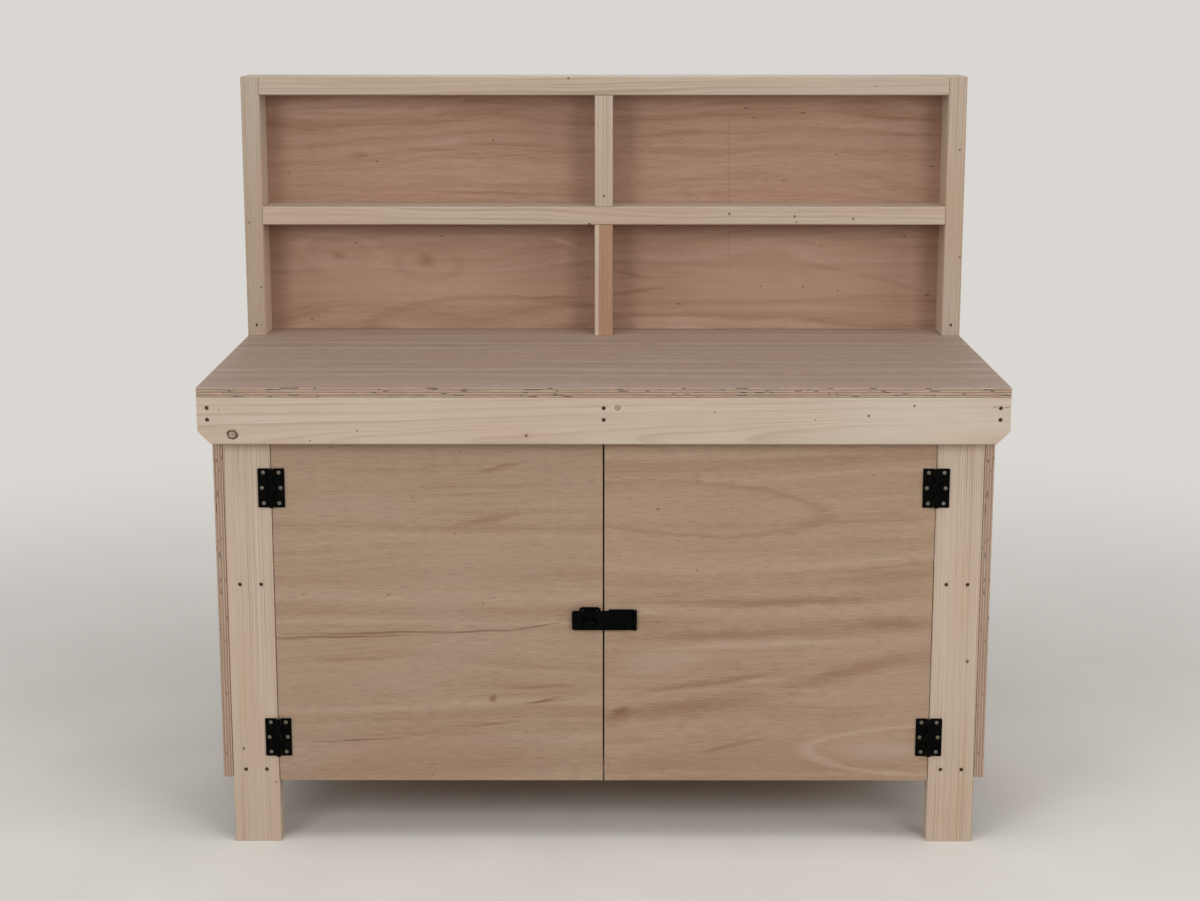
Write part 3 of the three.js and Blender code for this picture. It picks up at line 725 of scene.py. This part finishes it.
def edgePlies(tree, place, moved, depth):
    # plies that lie in turn along and across the grain, and their flaws
    pitch = plywood["thickness"] / plywood["plies"]
    layer = addNode(tree, "Math", [depth, 1 / pitch, plywood["plies"] / 2], operation="MULTIPLY_ADD")
    number = addNode(tree, "Math", [layer], operation="FLOOR")
    turned = addNode(tree, "Math", [number, 2.0], operation="MODULO")
    longPly, crossPly = hexColour(plywood["longPly"]), hexColour(plywood["crossPly"])
    ply = addNode(tree, "Mix", {0: turned, 6: longPly, 7: crossPly}, data_type="RGBA")
    sawn = streaks(tree, moved, *plywood["sawn"], Detail=2.0)
    ply = varyValue(tree, ply, sawn, noiseLimits, plywood["sawnShade"])

    split = addNode(tree, "SeparateXYZ", [place]).outputs
    inLayer = addNode(tree, "CombineXYZ", [split["X"], split["Y"], number])
    fraction = addNode(tree, "Math", [layer], operation="FRACT")
    fromMiddle = fromRim(tree, fraction, 0.5)
    for flaw in plyFlaws.values():
        noise = streaks(tree, inLayer, flaw["length"], flaw["length"], plywood["apart"], Detail=1.0)
        stretches = addNode(tree, "MapRange", [noise, *flaw["limits"], *flaw["shown"]])
        lies = addNode(tree, "MapRange", [fromMiddle, *flaw["lies"]])
        amount = addNode(tree, "Math", [lies, stretches], operation="MULTIPLY")
        ply = addNode(tree, "Mix", {0: amount, 6: ply, 7: hexColour(flaw["tone"])}, data_type="RGBA")
    return ply


def plywoodMaterial(node, spec, seed):
    material, tree = newMaterial("plywood_" + node)
    order = spec["order"]
    place, moved = placeInPiece(tree, order, seed)[1:]
    face, fibre = veneerFigure(tree, spec, moved)
    face = markVeneer(tree, spec, face, fibre, place, moved)

    through = addNode(tree, "SeparateXYZ", [place]).outputs["Z"]
    middle = span(node)[1]["XYZ".index(order[2])]
    depth = addNode(tree, "Math", [through, middle], operation="SUBTRACT")
    edge = edgePlies(tree, place, moved, depth)
    outward = addNode(tree, "Math", [depth], operation="ABSOLUTE")
    veneerStart = plywood["thickness"] / 2 - plywood["veneer"]
    inVeneer = addNode(tree, "Math", [outward, veneerStart], operation="GREATER_THAN")
    colour = addNode(tree, "Mix", {0: inVeneer, 6: edge, 7: face}, data_type="RGBA")
    finishTimber(tree, plywood, colour, fibre, fibre)
    return material


# Metal

# Mild steel, pressed and rolled, then powder coated: black, satin, with a faint orange peel.
blackCoat = {
    "colour": "#020202", "rubbed": "#080808", "wear": (0.45, 0.8), "patch": 14, "roughness": (0.42, 0.62),
    "peel": 0.9, "bump": 0.1, "raised": 0.15, "gloss": 0.04,
}

# Steel wire, cold headed, zinc plated and passivated: grey and slightly yellow, with fine dull spots.
zincPlate = {
    "colour": "#938c7c", "dull": "#70695c", "wear": (0.35, 0.65), "spot": 0.6, "roughness": (0.45, 0.3),
}


def blackCoatMaterial():
    material, tree = newMaterial("blackPowderCoat")
    where = addNode(tree, "TexCoord").outputs["Object"]
    peel = addNode(tree, "TexNoise", {"Vector": where, "Scale": 1 / (blackCoat["peel"] * mm), "Detail": 1.0})
    patches = 1 / (blackCoat["patch"] * mm)
    rubbed = addNode(tree, "TexNoise", {"Vector": where, "Scale": patches, "Detail": 4.0})
    stops = list(zip(blackCoat["wear"], (blackCoat["colour"], blackCoat["rubbed"])))
    colour = addNode(tree, "ValToRGB", [rubbed], stops=stops)
    rough = addNode(tree, "MapRange", [rubbed, 0.0, 1.0, *blackCoat["roughness"]])
    raised = {"Strength": blackCoat["raised"], "Distance": blackCoat["bump"] * mm, "Height": peel}
    bump = addNode(tree, "Bump", raised)
    gloss = blackCoat["gloss"]
    finish = {"Base Color": colour, "Roughness": rough, "Normal": bump, "Specular IOR Level": gloss}
    addNode(tree, "OutputMaterial", {"Surface": addNode(tree, "BsdfPrincipled", finish)})
    return material


def zincMaterial():
    material, tree = newMaterial("zincPlate")
    where = addNode(tree, "TexCoord").outputs["Object"]
    spots = addNode(tree, "TexNoise", {"Vector": where, "Scale": 1 / (zincPlate["spot"] * mm), "Detail": 3.0})
    stops = list(zip(zincPlate["wear"], (zincPlate["dull"], zincPlate["colour"])))
    colour = addNode(tree, "ValToRGB", [spots], stops=stops)
    rough = addNode(tree, "MapRange", [spots, 0.0, 1.0, *zincPlate["roughness"]])
    finish = {"Base Color": colour, "Roughness": rough, "Metallic": 1.0}
    addNode(tree, "OutputMaterial", {"Surface": addNode(tree, "BsdfPrincipled", finish)})
    return material


materials = {}
firstBoard = 41  # boards lie past all studs in the patterns
for seed, (node, spec) in enumerate(studs.items(), 1):
    materials[node] = spruceMaterial(node, spec, seed)
for seed, (node, spec) in enumerate(sheets.items(), firstBoard):
    materials[node] = plywoodMaterial(node, spec, seed)
metals = {"black_steel": blackCoatMaterial(), "bright_steel": zincMaterial()}
for node in frame["nodes"]:
    if slotOf[node] in metals:
        materials[node] = metals[slotOf[node]]
print("materials:", len(studs), "studs,", len(sheets), "boards and", len(metals), "metals")


# Dressed pieces: each solid with the arris that its maker's tool leaves, shaded smooth round its curves

finishes = {  # the word for the finish, and the arris of sharp edges in millimetres
    "pine": ("planed", 0.5),
    "top_plywood": ("sanded", 0.5),
    "door_plywood": ("sanded", 0.5),
    "back_plywood": ("sanded", 0.4),
    "black_steel": ("coated", 0.25),
    "bright_steel": ("plated", 0.15),
}
sharpCorner = math.radians(50)
flatCorner = math.radians(1)  # faces that meet at less than this are one
weld = 0.002 * mm  # points nearer to each other than this are one

toeScrews = {
    "height": 22,  # above the foot of the stud
    "reach": 5,  # what lies nearer to the screw's axis than this belongs to its hole
    "narrowed": {  # the screws draw the wood in round them: shares of a hole's width and height that show
        "hutch_upright_left": (0.65, 0.85),
        "hutch_upright_right": (0.65, 0.85),
        "hutch_post_upper": (0.5, 0.5),
    },
}


def narrowToeHole(mesh, node):
    low, middle, _ = span(node)
    axis = Vector((middle.x, 0, low.z + toeScrews["height"])) * mm
    hole = [vert for vert in mesh.verts if (vert.co - axis).xz.length < toeScrews["reach"] * mm]
    width, height = toeScrews["narrowed"][node]
    bmesh.ops.scale(mesh, vec=(width, 1, height), space=Matrix.Translation(-axis), verts=hole)


def dressPiece(node):
    word, arris = finishes[slotOf[node]]
    mesh = bmesh.new()
    mesh.from_mesh(frame["nodes"][node].data)
    bmesh.ops.remove_doubles(mesh, verts=mesh.verts, dist=weld)
    bmesh.ops.dissolve_limit(mesh, angle_limit=flatCorner, verts=mesh.verts, edges=mesh.edges)
    if node in toeScrews["narrowed"]:
        narrowToeHole(mesh, node)
    bmesh.ops.bevel(
        mesh, geom=[edge for edge in mesh.edges if edge.calc_face_angle_signed(0) > sharpCorner],
        offset=arris * mm, affect="EDGES", segments=3, profile=0.5, material=-1, clamp_overlap=True,
    )
    bmesh.ops.remove_doubles(mesh, verts=mesh.verts, dist=weld)
    for face in mesh.faces:
        face.smooth = True
    for edge in mesh.edges:
        edge.smooth = edge.calc_face_angle(0) < sharpCorner
    piece = meshObject(f"{node}_{word}", mesh)
    piece.modifiers.new("evenShading", "WEIGHTED_NORMAL").keep_sharp = True
    piece.data.materials.append(materials[node])
    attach(piece, bodyOf[node])
    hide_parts(node)


for node in frame["nodes"]:
    dressPiece(node)
print("dressed:", len(frame["nodes"]), "pieces")


# Screws: countersunk heads with a cross recess, in holes that the solids have and flush in the plywood

screw = {
    "head": 3.6,
    "crown": 0.25,
    "cone": 1.5,
    "shank": 1.9,
    "length": 8.0,
    "recess": 2.0,
    "arm": (0.26, 0.66),  # half width and half length of the cross, as shares of the head
    "taper": 0.55,
    "turn": 137.5,  # degrees from each screw's cross to the next one's
    "sunk": 8.0,  # how deep the heads lie in the studs
    "proud": 0.1,
    "softCorner": 30,  # degrees; edges that turn less are shaded smooth
}
headCells = 5  # a head starts as a square of 2 by 2 with this many cells to a side
headCell = 2 / headCells


def inCross(face):
    near, far = sorted(abs(c) for c in face.calc_center_median().xy)
    return near < headCell / 2 and far < headCell * 1.5


def screwShape():
    mesh = bmesh.new()
    bmesh.ops.create_grid(mesh, x_segments=headCells, y_segments=headCells, size=1.0)
    cross = [face for face in mesh.faces if inCross(face)]
    rim = [edge for edge in mesh.edges if edge.is_boundary]
    halfWidth, halfLength = screw["arm"]
    for vert in mesh.verts:
        if vert.is_boundary:
            vert.co.xy = vert.co.xy.normalized()
        else:
            arms = [halfWidth if abs(c) < headCell else halfLength for c in vert.co.xy]
            vert.co.xy = [math.copysign(arm, c) for arm, c in zip(arms, vert.co.xy)]
        vert.co.z = screw["crown"] / screw["head"] * (1 - vert.co.xy.length_squared)
    bmesh.ops.scale(mesh, vec=[screw["head"] * mm] * 3, verts=mesh.verts)

    # cross recess
    pressed = bmesh.ops.extrude_face_region(mesh, geom=cross)["geom"]
    pressed = [item for item in pressed if isinstance(item, bmesh.types.BMVert)]
    bmesh.ops.delete(mesh, geom=cross, context="FACES")  # the extrusion leaves them over the recess
    bmesh.ops.scale(mesh, vec=(screw["taper"], screw["taper"], 1), verts=pressed)
    bmesh.ops.translate(mesh, vec=(0, 0, -screw["recess"] * mm), verts=pressed)

    # cone, shank and its end
    narrowing = screw["shank"] / screw["head"]
    for scale, drop in ((narrowing, screw["cone"]), (1.0, screw["length"] - screw["cone"])):
        drawn = bmesh.ops.extrude_edge_only(mesh, edges=rim)["geom"]
        rim = [item for item in drawn if isinstance(item, bmesh.types.BMEdge)]
        ring = [item for item in drawn if isinstance(item, bmesh.types.BMVert)]
        bmesh.ops.scale(mesh, vec=(scale, scale, 1), verts=ring)
        bmesh.ops.translate(mesh, vec=(0, 0, -drop * mm), verts=ring)
    bmesh.ops.contextual_create(mesh, geom=rim)
    bmesh.ops.recalc_face_normals(mesh, faces=mesh.faces)
    for edge in mesh.edges:
        edge.smooth = edge.calc_face_angle(0) < math.radians(screw["softCorner"])
    for face in mesh.faces:
        face.smooth = True
    data = bpy.data.meshes.new("screwShape")
    mesh.to_mesh(data)
    mesh.free()
    return data


screwData = screwShape()
driven = {}  # screws by piece
forward, backward, leftward, rightward, upward = (0, -1, 0), (0, 1, 0), (-1, 0, 0), (1, 0, 0), (0, 0, 1)


def driveScrews(name, places, facing, inward, body="bench_frame", slot="bright_steel"):
    # places are points on the face in millimetres; inward sinks the heads below it
    mesh = bmesh.new()
    aim = Vector(facing).to_track_quat("Z", "Y").to_matrix().to_4x4()
    for count, place in enumerate(places):
        start = len(mesh.verts)
        mesh.from_mesh(screwData)
        mesh.verts.ensure_lookup_table()
        seat = Matrix.Translation((Vector(place) - Vector(facing) * inward) * mm)
        turn = Matrix.Rotation(math.radians(count * screw["turn"]), 4, "Z")
        bmesh.ops.transform(mesh, matrix=seat @ aim @ turn, verts=mesh.verts[start:])
    piece = meshObject(name, mesh)
    piece.data.materials.append(metals[slot])
    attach(piece, body)
    driven[name] = len(places)


screwPlaces = {
    "apronRow": 11,  # above and below the middle of the rails that the apron is screwed to
    "apronEnd": 19,
    "legColumn": 20,
    "hinge": [(14.5, 29.5), (17.5, 0), (14.5, -29.5)],  # from the pin, and from the middle of the leaf
    "hingeLeaf": 2.0,
    "countersunk": 0.5,  # how deep the heads lie in the fittings
    "hasp": (12.5, 41.5),
    "haspRow": 12,
    "staple": 14,
}


def fixFrame():
    sunk = screw["sunk"]
    low, middle, high = span("front_apron")
    rail = span("end_rail_left")[1].z
    columns = (low.x + screwPlaces["apronEnd"], middle.x, high.x - screwPlaces["apronEnd"])
    rows = (rail - screwPlaces["apronRow"], rail + screwPlaces["apronRow"])
    places = [(x, low.y, z) for x in columns for z in rows]
    driveScrews("apron_screws", places, forward, sunk)
    rear = span("rear_apron")[2].y
    places = [(x, rear, z) for x in columns for z in rows]
    driveScrews("rear_apron_screws", places, backward, sunk)

    heights = [span(node)[1].z for node in ("base_rail_front", "mid_rail_front")]
    offsets = (-screwPlaces["legColumn"], screwPlaces["legColumn"])
    places = []
    for leg in ("front_leg_left", "front_leg_right"):
        low, middle, _ = span(leg)
        places += [(middle.x + offset, low.y, z) for offset in offsets for z in heights]
    driveScrews("leg_screws", places, forward, sunk)

    places = []
    for node in toeScrews["narrowed"]:
        low, middle, _ = span(node)
        places.append((middle.x, low.y, low.z + toeScrews["height"]))
    driveScrews("hutch_toe_screws", places, forward, sunk)


def fixFittings():
    inward = screwPlaces["countersunk"]
    for side, outward in (("left", -1), ("right", 1)):
        leaves = {"frame": [], "door": []}
        for height in ("top", "bottom"):
            pin = span(f"{side}_{height}_hinge_pin")[1]
            face = span(f"{side}_{height}_hinge_door_leaf")[2].y - screwPlaces["hingeLeaf"]
            for reach, rise in screwPlaces["hinge"]:
                leaves["frame"].append((pin.x + outward * reach, face, pin.z + rise))
                leaves["door"].append((pin.x - outward * reach, face, pin.z + rise))
        driveScrews(f"{side}_hinge_frame_screws", leaves["frame"], forward, inward)
        driveScrews(f"{side}_hinge_door_screws", leaves["door"], forward, inward, f"{side}_door")

    pin = span("hasp_pin")[1]
    face = span("hasp_fixed_leaf")[2].y - screwPlaces["hingeLeaf"]
    rows = (pin.z - screwPlaces["haspRow"], pin.z + screwPlaces["haspRow"])
    places = [(pin.x - reach, face, z) for reach in screwPlaces["hasp"] for z in rows]
    driveScrews("hasp_screws", places, forward, inward, "right_door")

    low, middle, _ = span("staple_plate")
    offsets = (-screwPlaces["staple"], screwPlaces["staple"])
    places = [(middle.x + across, low.y, middle.z + rise) for across in offsets for rise in offsets]
    driveScrews("staple_screws", places, forward, inward, "left_door", "black_steel")


panelScrews = {
    "edge": 40,  # from the ends of a column to the panel's edge
    "rows": 4,
    "hutchColumns": (-450, 450),
    "shelfColumns": (-500, 0, 500),
}


def panelRows(bottom, top):
    step = (top - bottom - 2 * panelScrews["edge"]) / (panelScrews["rows"] - 1)
    return [bottom + panelScrews["edge"] + step * row for row in range(panelScrews["rows"])]


def fixPanels():
    proud = -screw["proud"]
    for side, facing in (("left", leftward), ("right", rightward)):
        low, _, high = span(f"side_panel_{side}")
        face = low.x if facing == leftward else high.x
        columns = [span(f"{end}_leg_{side}")[1].y for end in ("front", "rear")]
        places = [(face, y, z) for y in columns for z in panelRows(low.z, high.z)]
        driveScrews(f"side_panel_{side}_screws", places, facing, proud)

    low, _, high = span("cabinet_back")
    columns = [span(f"rear_leg_{side}")[1].x for side in ("left", "right")]
    places = [(x, high.y, z) for x in columns for z in panelRows(low.z, high.z)]
    driveScrews("cabinet_back_screws", places, backward, proud)

    low, middle, high = span("hutch_back")
    heights = [span(node)[1].z for node in ("hutch_top_rail", "hutch_shelf")]
    places = [(x, high.y, z) for z in heights for x in panelScrews["hutchColumns"]]
    heights = (low.z + panelScrews["edge"], middle.z, high.z - panelScrews["edge"])
    for node in ("hutch_upright_left", "hutch_upright_right"):
        places += [(span(node)[1].x, high.y, z) for z in heights]
    posts = [span(node)[1] for node in ("hutch_post_lower", "hutch_post_upper")]
    places += [(post.x, high.y, post.z) for post in posts]
    driveScrews("hutch_back_screws", places, backward, proud)

    for shelf, rails in (("base_shelf", "base_rail"), ("mid_shelf", "mid_rail")):
        top = span(shelf)[2].z
        lines = [span(f"{rails}_{end}")[1].y for end in ("front", "rear")]
        places = [(x, y, top) for x in panelScrews["shelfColumns"] for y in lines]
        driveScrews(f"{shelf}_screws", places, upward, proud)


fixFrame()
fixFittings()
fixPanels()
print("screws:", sum(driven.values()), "in", len(driven), "pieces")
